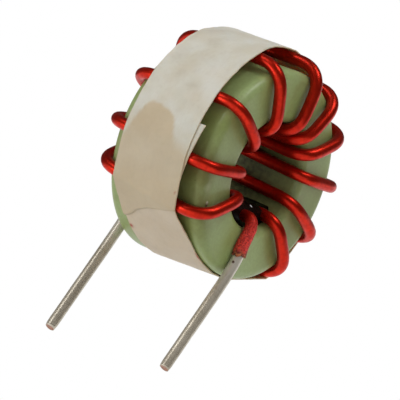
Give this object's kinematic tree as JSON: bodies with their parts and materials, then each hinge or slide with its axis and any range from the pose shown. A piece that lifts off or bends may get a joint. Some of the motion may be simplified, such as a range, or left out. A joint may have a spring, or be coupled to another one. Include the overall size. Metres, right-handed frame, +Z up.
{
  "type": "toroidal inductor",
  "caption": "Upright toroidal inductor: a coated powder ring wound with loose turns of enamelled wire, bound with tape, on two straight board leads. It stores energy and smooths current.",
  "frame": {"origin": "on the board's top face, midway between the two leads", "axes": "+Z up, away from the board, with the leads pointing down; Y along the ring's axis, with the front lead on the -Y side"},
  "size_m": [0.0312, 0.0182, 0.0447],
  "materials": {
    "core_coat": "glossy baked epoxy coat over pressed powder",
    "enamel": "glossy enamel on copper",
    "tinned_copper": "satin tin with fine drawing streaks",
    "tape": "matt, faintly stained",
    "adhesive": "glossy set epoxy"
  },
  "bodies": {
    "root": {"core": "core_coat", "winding": "enamel", "lead_front": "tinned_copper", "lead_rear": "tinned_copper", "tape": "tape", "adhesive": "adhesive"}
  },
  "joints": []
}
